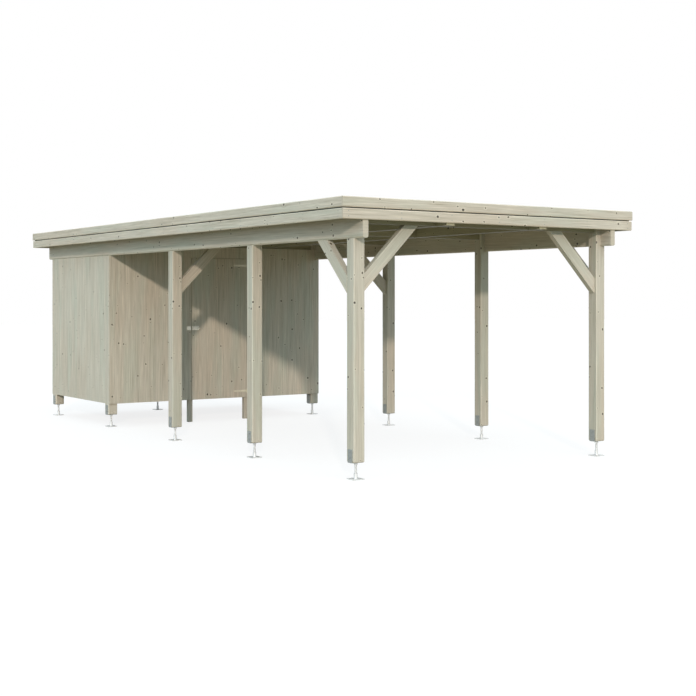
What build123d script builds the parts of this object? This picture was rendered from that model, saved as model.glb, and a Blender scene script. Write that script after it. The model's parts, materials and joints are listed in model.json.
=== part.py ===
# Flat-roofed timber carport with a closed store across its rear bay.
# Millimetres, +Z up. The origin is on the ground under the middle of the roof,
# +X runs to the right along the front edge and +Y to the back.
import os
from math import sqrt

from build123d import *

# Plan of the frame
FRAME_WIDTH = 3200.0  # over the outer faces of the two post rows
BAY_LENGTH = 1880.0  # from one post to the next along a side
OPEN_BAYS = 3  # bays in front of the store, which takes one more
SIDE_OVERHANG = 230.0  # roof edge beyond the posts at each side
END_OVERHANG = 165.0  # roof edge beyond the posts at front and back

# Heights above the ground
POST_FOOT = 160.0
BEAM_UNDERSIDE = 2215.0
WALL_FOOT = 299.0

# Frame timber
POST = 120.0
BEAM_THICKNESS = 60.0
BEAM_DEPTH = 260.0
CROSS_THICKNESS = 60.0
CROSS_DEPTH = 120.0
PURLIN_WIDTH = 95.0
PURLIN_OFFSET = 590.0  # from the middle of the roof
POST_ARRIS = 6.0
BEAM_ARRIS = 12.0
SMALL_ARRIS = 4.0

# Braces at 45 degrees
BRACE_THICKNESS = 60.0
BRACE_DEPTH = 115.0
BRACE_FOOT = 1715.0  # lower edge where it meets the post

# Roof
DECK_THICKNESS = 20.0
FELT_THICKNESS = 4.0
FASCIA_THICKNESS = 20.0
FASCIA_HEIGHT = 96.0
FASCIA_SEAM = 10.0  # open joint between the lower and the upper board
FASCIA_ARRIS = 7.0
UPPER_SETOUT = 6.0  # the upper board stands this far proud
EDGE_RAIL_WIDTH = 45.0
EDGE_RAIL_DEPTH = 90.0
BATTEN_WIDTH = 40.0
BATTEN_DROP = 10.0  # top of the upstand batten below the fascia's top
MEMBER_GAP = 2.0  # left between battens at a corner

# Store walls
BOARD = 20.0
RAIL_THICKNESS = 45.0
RAIL_HEIGHT = 70.0
RAIL_INSET = 35.0  # lowest and highest rail, from the ends of the boards

# Door and its frame
LEAF_WIDTH = 844.0
LEAF_TOP = 2200.0
LEAF_GAP = 6.0
DOOR_POST = 60.0
DOOR_LAP = 27.0  # leaf over the face of each door post
LEDGE_HEIGHT = 95.0
LEDGE_THICKNESS = 25.0
LEDGE_GAP = 8.0  # ledge ends to the door posts
LEDGE_INSET = 42.0  # lowest and highest ledge, from the ends of the leaf
DOOR_BRACE_WIDTH = 95.0
HEAD_HEIGHT = 60.0

# Strap hinges
STRAP_LENGTH = 205.0
STRAP_ROOT = 30.0
STRAP_TIP = 18.0
STRAP_THICKNESS = 3.0
KNUCKLE_RADIUS = 7.0
KNUCKLE_CLEARANCE = 1.0
PIN_RADIUS = 4.0
PIN_CLEARANCE = 0.3
FIXED_KNUCKLE = 18.0
HINGE_PLATE_WIDTH = 38.0

# Sliding bolt
BOLT_HEIGHT = 1260.0
BOLT_RADIUS = 6.0
BOLT_CLEARANCE = 0.5
BOLT_LENGTH = 118.0
BOLT_TRAVEL = 50.0
BOLT_TIP_INSET = 4.0  # drawn bolt's tip behind the edge of the leaf
BOLT_PLATE = 50.0
BOLT_PLATE_LENGTH = 100.0
BOLT_PLATE_THICKNESS = 3.0
BOLT_OFF_PLATE = 11.0  # axis of the rod from the plate's face
STAPLE_WIDTH = 10.0
STAPLE_HEIGHT = 24.0
KNOB_RADIUS = 5.0
KNOB_LENGTH = 26.0
KEEPER_LENGTH = 60.0
KEEPER_STAPLE = 12.0
KEEPER_CLEARANCE = 3.0  # round the thrown bolt
KEEPER_WALL = 6.0

# Adjustable post feet
BRACKET_THICKNESS = 5.0
BRACKET_WIDTH = 70.0
BRACKET_HEIGHT = 120.0
ROD_RADIUS = 12.0
NUT_FLATS = 36.0
NUT_HEIGHT = 19.0
PLATE_SIZE = 120.0
PLATE_THICKNESS = 8.0
SLEEVE_RADIUS = 18.0
SLEEVE_HEIGHT = 50.0
SLEEVE_CLEARANCE = 0.3
PLATE_HOLE_RADIUS = 6.0
PLATE_HOLE_PITCH = 84.0

# Derived planes of the frame, the roof and the store
ROWS = OPEN_BAYS + 2
HALF = FRAME_WIDTH / 2
LENGTH = (ROWS - 1) * BAY_LENGTH + POST
FRONT = -LENGTH / 2
BACK = LENGTH / 2
DECK_UNDERSIDE = BEAM_UNDERSIDE + BEAM_DEPTH
DECK_TOP = DECK_UNDERSIDE + DECK_THICKNESS
CROSS_UNDERSIDE = DECK_UNDERSIDE - CROSS_DEPTH
ROOF_X = HALF + SIDE_OVERHANG
ROOF_Y = BACK + END_OVERHANG
INNER_X = ROOF_X - FASCIA_THICKNESS
INNER_Y = ROOF_Y - FASCIA_THICKNESS
UPPER_X = ROOF_X + UPPER_SETOUT
UPPER_Y = ROOF_Y + UPPER_SETOUT
UPPER_BOTTOM = DECK_UNDERSIDE + FASCIA_SEAM
ROOF_TOP = UPPER_BOTTOM + FASCIA_HEIGHT
STORE_FRONT = FRONT + OPEN_BAYS * BAY_LENGTH
STORE_BACK = BACK
LEAF_LEFT = -LEAF_WIDTH / 2
LEAF_RIGHT = LEAF_WIDTH / 2
DOOR_POST_X = LEAF_RIGHT - DOOR_LAP + DOOR_POST / 2
DOOR_CLEAR = DOOR_POST_X - DOOR_POST / 2
HINGE_X = LEAF_RIGHT + LEAF_GAP / 2
HINGE_Y = STORE_FRONT - BOARD - KNUCKLE_RADIUS - KNUCKLE_CLEARANCE
BOARD_FACE = STORE_FRONT - BOARD


def block(x0, x1, y0, y1, z0, z1):
    """Plain timber or plate between two corners."""
    size = Box(x1 - x0, y1 - y0, z1 - z0)
    return Pos((x0 + x1) / 2, (y0 + y1) / 2, (z0 + z1) / 2) * size


def eased(piece, axis, size):
    """Chamfer the long edges that run along one axis."""
    return chamfer(piece.edges().filter_by(axis), size)


def mirrored(piece):
    """A piece and its twin on the other side of the middle."""
    return [piece, mirror(piece, about=Plane.YZ)]


def row_front(row):
    """Front face of a row of posts, counted from the front."""
    return FRONT + row * BAY_LENGTH


def save(name, pieces):
    """Write one node as its own file."""
    solids = []
    for piece in pieces:
        solids.extend(piece.solids())
    export_step(Compound(children=solids), f"parts/{name}.step")


# Posts and their feet
def post(row):
    """Right-hand post, with its outer half cut away for the side beam."""
    y0 = row_front(row)
    shaft = eased(block(HALF - POST, HALF, y0, y0 + POST, POST_FOOT, DECK_UNDERSIDE), Axis.Z, POST_ARRIS)
    shaft = chamfer(shaft.faces().sort_by(Axis.Z)[0].edges(), POST_ARRIS)
    seat = block(HALF - BEAM_THICKNESS, HALF + 1, y0 - 1, y0 + POST + 1, BEAM_UNDERSIDE, DECK_UNDERSIDE + 1)
    return shaft - seat


def middle_post():
    """Post under the middle of the rear cross beam."""
    y0 = STORE_BACK - POST
    shaft = block(-POST / 2, POST / 2, y0, STORE_BACK, POST_FOOT, CROSS_UNDERSIDE)
    shaft = eased(shaft, Axis.Z, POST_ARRIS)
    return chamfer(shaft.faces().sort_by(Axis.Z)[0].edges(), POST_ARRIS)


def bracket():
    """Channel that clasps two faces of a post, centred on the post."""
    outer = POST / 2 + BRACKET_THICKNESS
    half = BRACKET_WIDTH / 2
    base = POST_FOOT - BRACKET_THICKNESS
    body = block(-outer, outer, -half, half, base, POST_FOOT + BRACKET_HEIGHT)
    return body - block(-POST / 2, POST / 2, -half - 1, half + 1, POST_FOOT, POST_FOOT + BRACKET_HEIGHT + 1)


def rod():
    """Threaded rod with its nut, standing in the sleeve of the base plate."""
    top = POST_FOOT - BRACKET_THICKNESS
    shank = Pos(0, 0, (PLATE_THICKNESS + top) / 2) * Cylinder(ROD_RADIUS, top - PLATE_THICKNESS)
    flats = RegularPolygon(NUT_FLATS / 2, 6, major_radius=False)
    nut = extrude(Pos(0, 0, top - NUT_HEIGHT) * flats, amount=NUT_HEIGHT)
    return shank + nut


def base_plate():
    """Square plate with four anchor holes and a sleeve for the rod."""
    half = PLATE_SIZE / 2
    plate = block(-half, half, -half, half, 0, PLATE_THICKNESS)
    top = PLATE_THICKNESS + SLEEVE_HEIGHT
    plate += Pos(0, 0, top / 2) * Cylinder(SLEEVE_RADIUS, top)
    bore = Cylinder(ROD_RADIUS + SLEEVE_CLEARANCE, SLEEVE_HEIGHT)
    plate -= Pos(0, 0, PLATE_THICKNESS + SLEEVE_HEIGHT / 2) * bore
    holes = GridLocations(PLATE_HOLE_PITCH, PLATE_HOLE_PITCH, 2, 2)
    return plate - holes * Cylinder(PLATE_HOLE_RADIUS, 3 * PLATE_THICKNESS)


def foot_places():
    """Middle of every post that stands on an adjustable foot."""
    side = HALF - POST / 2
    places = [(x, row_front(row) + POST / 2) for row in range(ROWS) for x in (-side, side)]
    return places + [(0, STORE_BACK - POST / 2)]


# Roof frame
def side_beam():
    """Right-hand beam along the outer faces of the posts."""
    beam = block(HALF - BEAM_THICKNESS, HALF, -INNER_Y, INNER_Y, BEAM_UNDERSIDE, DECK_UNDERSIDE)
    lower = beam.edges().filter_by(Axis.Y).group_by(Axis.Z)[0]
    return chamfer(lower, BEAM_ARRIS)


def cross_front(row):
    """Front face of the cross beam over a row of posts."""
    if row == OPEN_BAYS:
        return STORE_FRONT
    if row == ROWS - 1:
        return STORE_BACK - CROSS_THICKNESS
    return row_front(row) + (POST - CROSS_THICKNESS) / 2


def cross_beam(row):
    """Beam between the inner faces of two posts."""
    y0 = cross_front(row)
    end = HALF - POST
    beam = block(-end, end, y0, y0 + CROSS_THICKNESS, CROSS_UNDERSIDE, DECK_UNDERSIDE)
    lower = beam.edges().filter_by(Axis.X).group_by(Axis.Z)[0]
    return chamfer(lower, SMALL_ARRIS)


def purlins():
    """Lengths of roof timber between the cross beams, on both sides."""
    stops = [-INNER_Y]
    for row in range(ROWS):
        stops.extend([cross_front(row), cross_front(row) + CROSS_THICKNESS])
    stops.append(INNER_Y)
    inner = PURLIN_OFFSET - PURLIN_WIDTH / 2
    outer = PURLIN_OFFSET + PURLIN_WIDTH / 2
    pieces = []
    for y0, y1 in zip(stops[0::2], stops[1::2]):
        pieces.extend(mirrored(block(inner, outer, y0, y1, CROSS_UNDERSIDE, DECK_UNDERSIDE)))
    return pieces


def brace_outline(foot, soffit):
    """Brace at 45 degrees, from a post's face at 0 up to a soffit."""
    along = BRACE_DEPTH * sqrt(2)
    rise = soffit - foot
    return [(0, foot), (rise, soffit), (rise - along, soffit), (0, foot + along)]


def cross_brace(row):
    """Right-hand brace from a post inwards to the cross beam."""
    points = brace_outline(BRACE_FOOT, CROSS_UNDERSIDE)
    start = HALF - POST
    face = Plane.XZ * Polygon([(start - x, z) for x, z in points], align=None)
    y0 = row_front(row) + (POST - BRACE_THICKNESS) / 2
    return Pos(0, y0, 0) * extrude(face, amount=BRACE_THICKNESS, dir=(0, 1, 0))


def side_brace():
    """Right-hand brace from the front post back to the side beam."""
    points = brace_outline(BRACE_FOOT, BEAM_UNDERSIDE)
    start = FRONT + POST
    face = Plane.YZ * Polygon([(start + y, z) for y, z in points], align=None)
    edge = HALF - BEAM_THICKNESS + (BEAM_THICKNESS - BRACE_THICKNESS) / 2
    return Pos(edge, 0, 0) * extrude(face, amount=BRACE_THICKNESS, dir=(1, 0, 0))


# Roof skin
def edge_rail():
    """Rail behind the right-hand lower fascia."""
    return block(INNER_X - EDGE_RAIL_WIDTH, INNER_X, -INNER_Y, INNER_Y, DECK_UNDERSIDE - EDGE_RAIL_DEPTH, DECK_UNDERSIDE)


def batten_inner():
    """Inner faces of the upstand battens, across and along."""
    return UPPER_X - FASCIA_THICKNESS - BATTEN_WIDTH, UPPER_Y - FASCIA_THICKNESS - BATTEN_WIDTH


def upstand_battens():
    """Four battens on the deck that carry the upper fascia."""
    x0, y0 = batten_inner()
    top = ROOF_TOP - BATTEN_DROP
    side = block(x0, x0 + BATTEN_WIDTH, -y0 + MEMBER_GAP, y0 - MEMBER_GAP, DECK_TOP, top)
    end_x = x0 + BATTEN_WIDTH
    back = block(-end_x, end_x, y0, y0 + BATTEN_WIDTH, DECK_TOP, top)
    return mirrored(side) + [back, mirror(back, about=Plane.XZ)]


def fascia(half_x, y0, y1, z0):
    """Board across one end, with its outer edges eased."""
    board = block(-half_x, half_x, y0, y1, z0, z0 + FASCIA_HEIGHT)
    outer = Axis.Y if y0 > 0 else -Axis.Y
    edges = board.faces().sort_by(outer)[-1].edges().filter_by(Axis.X)
    return chamfer(edges, FASCIA_ARRIS)


def side_fascia(x1, half_y, z0):
    """Board along the right-hand side, with its outer edges eased."""
    board = block(x1 - FASCIA_THICKNESS, x1, -half_y, half_y, z0, z0 + FASCIA_HEIGHT)
    edges = board.faces().sort_by(Axis.X)[-1].edges().filter_by(Axis.Y)
    return chamfer(edges, FASCIA_ARRIS)


# Store
def end_wall(y0):
    """Boarded wall over the posts, notched under both side beams."""
    wall = block(-HALF, HALF, y0, y0 + BOARD, WALL_FOOT, CROSS_UNDERSIDE)
    notch = block(HALF - BEAM_THICKNESS, HALF + 1, y0 - 1, y0 + BOARD + 1, BEAM_UNDERSIDE, CROSS_UNDERSIDE + 1)
    for cut in mirrored(notch):
        wall -= cut
    return wall


def side_wall():
    """Right-hand boarded wall between the two posts of the store."""
    y0 = STORE_FRONT + POST
    return block(HALF - BOARD, HALF, y0, STORE_BACK - POST, WALL_FOOT, BEAM_UNDERSIDE)


def rail_heights(top):
    """Lower edges of the three rails behind a wall."""
    low = WALL_FOOT + RAIL_INSET
    high = top - RAIL_INSET - RAIL_HEIGHT
    return [low, (low + high) / 2, high]


def wall_rails():
    """Rails between the posts, behind the boards of every wall."""
    pieces = []
    inner = HALF - POST
    for z in rail_heights(BEAM_UNDERSIDE):
        x0 = HALF - BOARD - RAIL_THICKNESS
        side = block(x0, HALF - BOARD, STORE_FRONT + POST, STORE_BACK - POST, z, z + RAIL_HEIGHT)
        pieces.extend(mirrored(side))
    for z in rail_heights(CROSS_UNDERSIDE):
        x0 = DOOR_POST_X + DOOR_POST / 2
        front = block(x0, inner, STORE_FRONT, STORE_FRONT + RAIL_THICKNESS, z, z + RAIL_HEIGHT)
        back = block(POST / 2, inner, STORE_BACK - RAIL_THICKNESS, STORE_BACK, z, z + RAIL_HEIGHT)
        pieces.extend(mirrored(front) + mirrored(back))
    return pieces


def door_post():
    """Right-hand door post, rebated where the leaf laps over it."""
    x0 = DOOR_CLEAR
    shaft = block(x0, x0 + DOOR_POST, STORE_FRONT, STORE_FRONT + DOOR_POST, 0, CROSS_UNDERSIDE)
    lap = block(x0 - 1, LEAF_RIGHT + LEAF_GAP / 2, STORE_FRONT - 1, STORE_FRONT + LEAF_GAP, -1, LEAF_TOP + LEAF_GAP)
    return shaft - lap


def door_head():
    """Rail between the door posts, above the leaf."""
    z0 = LEAF_TOP + LEAF_GAP
    return block(-DOOR_CLEAR, DOOR_CLEAR, STORE_FRONT, STORE_FRONT + DOOR_POST, z0, z0 + HEAD_HEIGHT)


# Door
def leaf():
    """Boards of the door."""
    return block(LEAF_LEFT, LEAF_RIGHT, BOARD_FACE, STORE_FRONT, WALL_FOOT, LEAF_TOP)


def ledge_heights():
    """Lower edges of the three ledges."""
    low = WALL_FOOT + LEDGE_INSET
    high = LEAF_TOP - LEDGE_INSET - LEDGE_HEIGHT
    return [low, (low + high) / 2, high]


def ledges():
    """Cross pieces on the back of the leaf."""
    end = DOOR_CLEAR - LEDGE_GAP
    y1 = STORE_FRONT + LEDGE_THICKNESS
    return [block(-end, end, STORE_FRONT, y1, z, z + LEDGE_HEIGHT) for z in ledge_heights()]


def leaf_braces():
    """Diagonals between the ledges, rising from the hinge side."""
    end = DOOR_CLEAR - LEDGE_GAP
    heights = ledge_heights()
    pieces = []
    for low, high in zip(heights[:-1], heights[1:]):
        z0 = low + LEDGE_HEIGHT
        foot = [(end, z0), (end - DOOR_BRACE_WIDTH, z0)]
        head = [(-end, high), (-end + DOOR_BRACE_WIDTH, high)]
        face = Plane.XZ * Polygon(foot + head, align=None)
        pieces.append(Pos(0, STORE_FRONT, 0) * extrude(face, amount=LEDGE_THICKNESS, dir=(0, 1, 0)))
    return pieces


def hinge_heights():
    """Middle of each hinge, level with the outer ledges."""
    heights = ledge_heights()
    return [heights[0] + LEDGE_HEIGHT / 2, heights[-1] + LEDGE_HEIGHT / 2]


def strap(z):
    """Tapered strap on the leaf, with the middle knuckle."""
    tip_x = HINGE_X - STRAP_LENGTH
    half_tip = STRAP_TIP / 2
    half_root = STRAP_ROOT / 2
    points = [(HINGE_X, -half_root), (HINGE_X, half_root), (tip_x, half_tip), (tip_x, -half_tip)]
    face = Plane.XZ * Polygon(points, align=None)
    plate = Pos(0, BOARD_FACE, 0) * extrude(face, amount=STRAP_THICKNESS, dir=(0, -1, 0))
    knuckle = Pos(HINGE_X, HINGE_Y, 0) * Cylinder(KNUCKLE_RADIUS, STRAP_ROOT)
    bore = Pos(HINGE_X, HINGE_Y, 0) * Cylinder(PIN_RADIUS + PIN_CLEARANCE, 2 * STRAP_ROOT)
    return Pos(0, 0, z) * (plate + knuckle - bore)


def hinge_plate(z):
    """Plate on the wall, with the outer knuckles and the pin."""
    half = STRAP_ROOT / 2 + KNUCKLE_CLEARANCE + FIXED_KNUCKLE
    inner = half - FIXED_KNUCKLE
    x1 = HINGE_X + KNUCKLE_RADIUS + HINGE_PLATE_WIDTH
    plate = block(HINGE_X, x1, BOARD_FACE - STRAP_THICKNESS, BOARD_FACE, -half, half)
    clear = HINGE_X + KNUCKLE_RADIUS + KNUCKLE_CLEARANCE
    plate -= block(HINGE_X - 1, clear, BOARD_FACE - 2 * STRAP_THICKNESS, BOARD_FACE + 1, -inner, inner)
    middle = (half + inner) / 2
    for side in (-middle, middle):
        plate += Pos(HINGE_X, HINGE_Y, side) * Cylinder(KNUCKLE_RADIUS, FIXED_KNUCKLE)
    plate += Pos(HINGE_X, HINGE_Y, 0) * Cylinder(PIN_RADIUS, 2 * half)
    return Pos(0, 0, z) * plate


def staple(x0):
    """Bored block that the bolt runs through, standing on its plate."""
    face = BOARD_FACE - BOLT_PLATE_THICKNESS
    y0 = face - BOLT_OFF_PLATE - STAPLE_HEIGHT / 2
    z0 = BOLT_HEIGHT - STAPLE_HEIGHT / 2
    body = block(x0, x0 + STAPLE_WIDTH, y0, face, z0, z0 + STAPLE_HEIGHT)
    front = body.edges().filter_by(Axis.X).group_by(Axis.Y)[0]
    body = fillet(front, STAPLE_HEIGHT / 3)
    middle = Pos(x0 + STAPLE_WIDTH / 2, face - BOLT_OFF_PLATE, BOLT_HEIGHT)
    return body - middle * Rot(0, 90, 0) * Cylinder(BOLT_RADIUS + BOLT_CLEARANCE, 2 * STAPLE_WIDTH)


def bolt_guide():
    """Plate on the leaf with the two staples of the bolt."""
    x0 = LEAF_LEFT + 2 * BOLT_TIP_INSET
    half = BOLT_PLATE / 2
    face = BOARD_FACE - BOLT_PLATE_THICKNESS
    plate = block(x0, x0 + BOLT_PLATE_LENGTH, face, BOARD_FACE, BOLT_HEIGHT - half, BOLT_HEIGHT + half)
    first = x0 + BOLT_TIP_INSET
    last = x0 + BOLT_PLATE_LENGTH - BOLT_TIP_INSET - STAPLE_WIDTH
    for start in (first, last):
        plate += staple(start)
    return plate


def bolt():
    """Round bolt with its knob, drawn back so that the door is free."""
    tip = LEAF_LEFT + BOLT_TIP_INSET
    y = BOARD_FACE - BOLT_PLATE_THICKNESS - BOLT_OFF_PLATE
    shank = Pos(tip + BOLT_LENGTH / 2, y, BOLT_HEIGHT) * Rot(0, 90, 0) * Cylinder(BOLT_RADIUS, BOLT_LENGTH)
    ends = shank.edges().filter_by(GeomType.CIRCLE)
    shank = chamfer(ends, BOLT_RADIUS / 4)
    last_staple = LEAF_LEFT + BOLT_TIP_INSET + BOLT_PLATE_LENGTH - STAPLE_WIDTH
    knob_x = last_staple - KNOB_RADIUS - LEAF_GAP
    knob = Pos(knob_x, y - KNOB_LENGTH / 2, BOLT_HEIGHT) * Rot(90, 0, 0) * Cylinder(KNOB_RADIUS, KNOB_LENGTH)
    return shank + knob


def keeper():
    """Plate and square staple on the wall that take the thrown bolt."""
    x1 = LEAF_LEFT - 2 * LEAF_GAP
    half = BOLT_PLATE / 2
    face = BOARD_FACE - BOLT_PLATE_THICKNESS
    plate = block(x1 - KEEPER_LENGTH, x1, face, BOARD_FACE, BOLT_HEIGHT - half, BOLT_HEIGHT + half)
    x0 = LEAF_LEFT + BOLT_TIP_INSET - BOLT_TRAVEL + LEAF_GAP
    reach = BOLT_RADIUS + KEEPER_CLEARANCE
    outer = reach + KEEPER_WALL
    y0 = face - BOLT_OFF_PLATE - outer
    bridge = block(x0, x0 + KEEPER_STAPLE, y0, face, BOLT_HEIGHT - outer, BOLT_HEIGHT + outer)
    way = block(x0 - 1, x0 + KEEPER_STAPLE + 1, y0 + KEEPER_WALL, face, BOLT_HEIGHT - reach, BOLT_HEIGHT + reach)
    return plate + (bridge - way)


def front_wall():
    """Front wall as its two sides and the panel over the doorway."""
    wall = end_wall(BOARD_FACE)
    edge = LEAF_RIGHT + LEAF_GAP
    sides = []
    for x0, x1 in ((-HALF - 1, -edge), (edge, HALF + 1)):
        sides.append(wall & block(x0, x1, BOARD_FACE - 1, STORE_FRONT + 1, WALL_FOOT, CROSS_UNDERSIDE))
    over = block(-edge, edge, BOARD_FACE, STORE_FRONT, LEAF_TOP + LEAF_GAP, CROSS_UNDERSIDE)
    return sides[0], sides[1], over


def main():
    os.makedirs("parts", exist_ok=True)

    names = ["front_posts", "second_posts", "third_posts", "store_front_posts", "store_rear_posts"]
    for row, name in enumerate(names):
        save(name, mirrored(post(row)))
    save("rear_middle_post", [middle_post()])
    save("post_brackets", [Pos(x, y, 0) * bracket() for x, y in foot_places()])
    save("adjusting_rods", [Pos(x, y, 0) * rod() for x, y in foot_places()])
    save("base_plates", [Pos(x, y, 0) * base_plate() for x, y in foot_places()])

    right_beam, left_beam = mirrored(side_beam())
    save("right_side_beam", [right_beam])
    save("left_side_beam", [left_beam])
    save("cross_beams", [cross_beam(row) for row in range(ROWS)])
    save("purlins", purlins())
    save("cross_braces", mirrored(cross_brace(0)) + mirrored(cross_brace(2)))
    save("side_braces", mirrored(side_brace()))

    save("edge_rails", mirrored(edge_rail()))
    save("roof_deck", [block(-INNER_X, INNER_X, -INNER_Y, INNER_Y, DECK_UNDERSIDE, DECK_TOP)])
    felt_x, felt_y = batten_inner()
    save("roof_felt", [block(-felt_x, felt_x, -felt_y, felt_y, DECK_TOP, DECK_TOP + FELT_THICKNESS)])
    save("upstand_battens", upstand_battens())
    lower_bottom = DECK_UNDERSIDE - FASCIA_HEIGHT
    save("front_lower_fascia", [fascia(ROOF_X, -ROOF_Y, -INNER_Y, lower_bottom)])
    save("rear_lower_fascia", [fascia(ROOF_X, INNER_Y, ROOF_Y, lower_bottom)])
    upper_inner = UPPER_Y - FASCIA_THICKNESS
    save("front_upper_fascia", [fascia(UPPER_X, -UPPER_Y, -upper_inner, UPPER_BOTTOM)])
    save("rear_upper_fascia", [fascia(UPPER_X, upper_inner, UPPER_Y, UPPER_BOTTOM)])
    for level, x, half_y, z0 in (
        ("lower", ROOF_X, INNER_Y, lower_bottom),
        ("upper", UPPER_X, upper_inner, UPPER_BOTTOM),
    ):
        right, left = mirrored(side_fascia(x, half_y, z0))
        save(f"right_{level}_fascia", [right])
        save(f"left_{level}_fascia", [left])

    right_wall, left_wall = mirrored(side_wall())
    save("right_store_wall", [right_wall])
    save("left_store_wall", [left_wall])
    save("rear_store_wall", [end_wall(STORE_BACK)])
    front_left, front_right, over_door = front_wall()
    save("front_wall_left", [front_left])
    save("front_wall_right", [front_right])
    save("over_door_panel", [over_door])
    save("wall_rails", wall_rails())
    right_door_post, left_door_post = mirrored(door_post())
    save("right_door_post", [right_door_post])
    save("left_door_post", [left_door_post])
    save("door_head", [door_head()])

    save("door_leaf", [leaf()])
    save("door_ledges", ledges())
    save("door_diagonals", leaf_braces())
    save("door_straps", [strap(z) for z in hinge_heights()])
    save("hinge_plates", [hinge_plate(z) for z in hinge_heights()])
    save("bolt_guide", [bolt_guide()])
    save("door_bolt", [bolt()])
    save("bolt_keeper", [keeper()])


main()
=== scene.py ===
"""Dresses a flat-roofed timber carport and the boarded store across its rear bay."""

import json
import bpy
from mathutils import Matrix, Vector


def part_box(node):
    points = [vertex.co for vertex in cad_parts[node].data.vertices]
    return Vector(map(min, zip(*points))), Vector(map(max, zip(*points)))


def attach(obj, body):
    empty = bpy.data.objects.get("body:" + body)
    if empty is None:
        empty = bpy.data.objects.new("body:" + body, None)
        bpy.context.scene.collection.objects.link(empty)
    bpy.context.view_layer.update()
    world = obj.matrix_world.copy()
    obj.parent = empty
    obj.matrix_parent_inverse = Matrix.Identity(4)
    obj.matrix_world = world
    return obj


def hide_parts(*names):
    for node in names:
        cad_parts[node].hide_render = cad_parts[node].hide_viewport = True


bl_info = {
    "name": "Timber Carport with Store",
    "version": (1, 0, 0),
    "blender": (4, 5, 0),
    "location": "3D View > Sidebar > Carport",
    "description": "Boards, fastenings, finishes and stage of a timber carport",
    "category": "Object",
}

from math import pi, radians

import bpy
from bpy.props import FloatProperty, FloatVectorProperty, PointerProperty
from mathutils import Vector

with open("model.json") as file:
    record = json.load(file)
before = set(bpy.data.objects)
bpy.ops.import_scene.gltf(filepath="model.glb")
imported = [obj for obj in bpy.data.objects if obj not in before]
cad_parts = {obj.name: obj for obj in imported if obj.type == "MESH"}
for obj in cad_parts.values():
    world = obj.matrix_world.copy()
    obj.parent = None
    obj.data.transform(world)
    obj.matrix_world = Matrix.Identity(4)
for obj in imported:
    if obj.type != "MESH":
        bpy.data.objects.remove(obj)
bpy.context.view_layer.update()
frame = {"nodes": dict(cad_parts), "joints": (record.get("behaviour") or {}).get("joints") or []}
NODES = frame["nodes"]


# Directions and turns

FRONT = (0.0, -1.0, 0.0)
REAR = (0.0, 1.0, 0.0)
LEFT = (-1.0, 0.0, 0.0)
RIGHT = (1.0, 0.0, 0.0)

# A timber's finish is turned by these, so that its grain runs along Z.
GRAIN_UPRIGHT = (0.0, 0.0, 0.0)
GRAIN_ALONG_X = (0.0, -pi / 2, 0.0)
GRAIN_ALONG_Y = (pi / 2, 0.0, 0.0)
GRAIN_RISING_IN_X = (0.0, pi / 4, 0.0)
GRAIN_RISING_IN_Y = (pi / 4, 0.0, 0.0)

# A board is made upright with its face to Y, and placed with these.
FACING_Y = (0.0, 0.0, 0.0)
FACING_X = (0.0, 0.0, pi / 2)
FLAT_ALONG_X = (pi / 2, 0.0, pi / 2)
ON_EDGE_ALONG_X = (0.0, pi / 2, 0.0)
ON_EDGE_ALONG_Y = (0.0, pi / 2, pi / 2)


# Measures in metres

WHOLE_WIDTH = 1.0  # wider than any strip, which is then one board
FELT_THICKNESS = 0.002
FELT_LAP = 0.1
LAP_EASE = 0.0006
DECK_FELT_MARGIN = 0.001

ROD_RADIUS = 0.012
NUT_HEIGHT = 0.019
SAME_FOOT = 0.1  # corners nearer than this belong to one foot
SAME_ROW = 0.05
BRACKET_BOLT_RISES = (0.045, 0.1)
BRACKET_BOLT_HEIGHT = 0.006
BRACKET_BOLT_STUD = 0.0001

STRAP_THICKNESS = 0.003
STRAP_HALF_HEIGHT = 0.015
STRAP_SCREWS = (0.055, 0.115, 0.185)  # from the hinge's axis
PLATE_SCREW_REACH = 0.033
PLATE_SCREW_RISE = 0.022
GUIDE_SCREW_INSET = 0.024
KEEPER_SCREW_INSET = 0.011
FITTING_SCREW_MARGIN = 0.008
FITTING_SCREW_RADIUS = 0.004
FITTING_SCREW_HEIGHT = 0.0012

FLUSH_HEAD_HEIGHT = 0.0008
SOCKET_DEPTH = 0.7  # of the height of a head
CORNERS_OVER_FLATS = 1.1547  # of a hexagon
THREAD_DEPTH = 0.42  # of the pitch
FASCIA_END_MARGIN = 0.06
FASCIA_EDGE_MARGIN = 0.024
WALL_NAIL_MARGIN = 0.07
PANEL_NAIL_MARGIN = 0.03
LEDGE_HALF_HEIGHT = 0.0475
STRAP_NAIL_CLEARANCE = 0.02
NAIL_ROW_TOLERANCE = 0.1
NAIL_OFFSETS = (-0.25, 0.25)  # in board widths from the middle of a board

FLOOR_REACH = 60.0
SENSOR_WIDTH = 36.0  # millimetres
CLIP_END = 200.0


# Looks

PIN_KNOT_CELL = (0.07, 0.17)
PIN_KNOT_SHARE = 0.45
PIN_KNOT_SHIFT = 51.7
KNOT_ROUNDNESS = 0.8
SMALLEST_KNOT = 0.65  # as a share of the radius in the settings
KNOT_SPREAD = 0.8
# For knots and pin knots: how the grain bends round them, their pale halo and their
# dark heart, each with the radii between which it comes in and its strength
KNOT_EFFECTS = {"bend": (4.5, 0.6, 0.75), "halo": (2.5, 1.2, 0.34), "heart": (1.15, 0.85, 1.0)}
PIN_KNOT_EFFECTS = {"bend": (4.0, 0.6, 0.6), "halo": (3.8, 1.4, 0.5), "heart": (1.4, 0.8, 1.0)}
# Scales across, along and into the timber and from board to board, detail and roughness
STREAKS = (95.0, 2.2, 9.0, 61.0, 4.0, 0.6)
BANDS = (21.0, 0.8, 4.0, 43.0, 3.0, 0.55)
RINGS_PER_METRE = 85.0
# Painted shade: a darker tint for the timber under the roof, standing in for the shade that falls
# there
UNDER_ROOF_SHADE = (0.62, 0.62, 0.49)

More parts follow.
